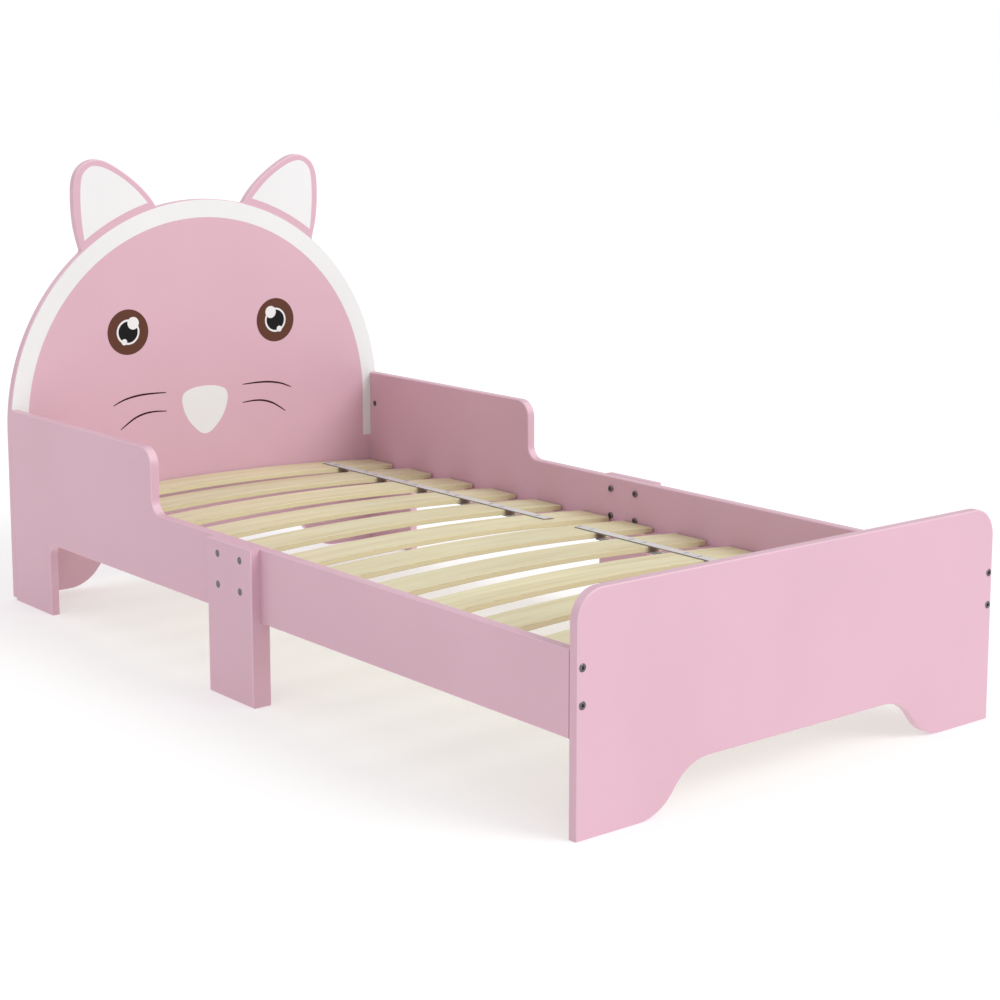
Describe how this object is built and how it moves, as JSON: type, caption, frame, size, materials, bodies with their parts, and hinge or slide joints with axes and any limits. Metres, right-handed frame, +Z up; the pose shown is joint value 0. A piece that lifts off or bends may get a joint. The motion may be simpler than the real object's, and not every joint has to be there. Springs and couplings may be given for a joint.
{
  "type": "toddler bed",
  "caption": "Low toddler bed: cat-shaped headboard with two ears, stepped side guards, middle legs, arched end boards and bowed slats in two lift-out packs.",
  "frame": {"origin": "on the floor under the middle of the mattress rectangle", "axes": "+Z up; +Y towards the headboard; +X towards the right-hand side as seen from the foot"},
  "size_m": [0.765, 1.4312, 0.7245],
  "materials": {
    "pink_board": "smooth satin pink lacquer on wood board",
    "slat_wood": "bare sanded pale birch plywood",
    "strap_web": "flat woven pale grey webbing",
    "dark_steel": "dark burnished zinc",
    "bright_steel": "plain zinc plated",
    "dowel_wood": "bare turned beech"
  },
  "bodies": {
    "frame": {"headboard": "pink_board", "footboard": "pink_board", "head_side_panel_left": "pink_board", "foot_side_rail_left": "pink_board", "mid_leg_plate_left": "pink_board", "mid_leg_block_left": "pink_board", "head_ledge_left": "pink_board", "foot_ledge_left": "pink_board", "head_side_panel_right": "pink_board", "foot_side_rail_right": "pink_board", "mid_leg_plate_right": "pink_board", "mid_leg_block_right": "pink_board", "head_ledge_right": "pink_board", "foot_ledge_right": "pink_board", "headboard_bolts": "dark_steel", "headboard_barrel_nuts": "dark_steel", "headboard_dowels": "dowel_wood", "footboard_bolts": "dark_steel", "footboard_barrel_nuts": "dark_steel", "footboard_dowels": "dowel_wood", "mid_leg_bolts": "dark_steel", "mid_leg_sleeve_nuts": "dark_steel", "ledge_screws": "dark_steel", "mid_leg_block_dowels": "dowel_wood"},
    "head_slat_pack": {"head_slat_1": "slat_wood", "head_slat_2": "slat_wood", "head_slat_3": "slat_wood", "head_slat_4": "slat_wood", "head_slat_5": "slat_wood", "head_slat_6": "slat_wood", "head_strap_left": "strap_web", "head_strap_right": "strap_web", "head_staples": "bright_steel"},
    "foot_slat_pack": {"foot_slat_1": "slat_wood", "foot_slat_2": "slat_wood", "foot_slat_3": "slat_wood", "foot_slat_4": "slat_wood", "foot_slat_5": "slat_wood", "foot_slat_6": "slat_wood", "foot_strap_left": "strap_web", "foot_strap_right": "strap_web", "foot_staples": "bright_steel"}
  },
  "joints": [
    {"name": "head_pack_lift", "type": "slide", "parent": "frame", "child": "head_slat_pack", "axis": [0, 0, 1], "range_m": [0, 0.2]},
    {"name": "foot_pack_lift", "type": "slide", "parent": "frame", "child": "foot_slat_pack", "axis": [0, 0, 1], "range_m": [0, 0.2]}
  ]
}
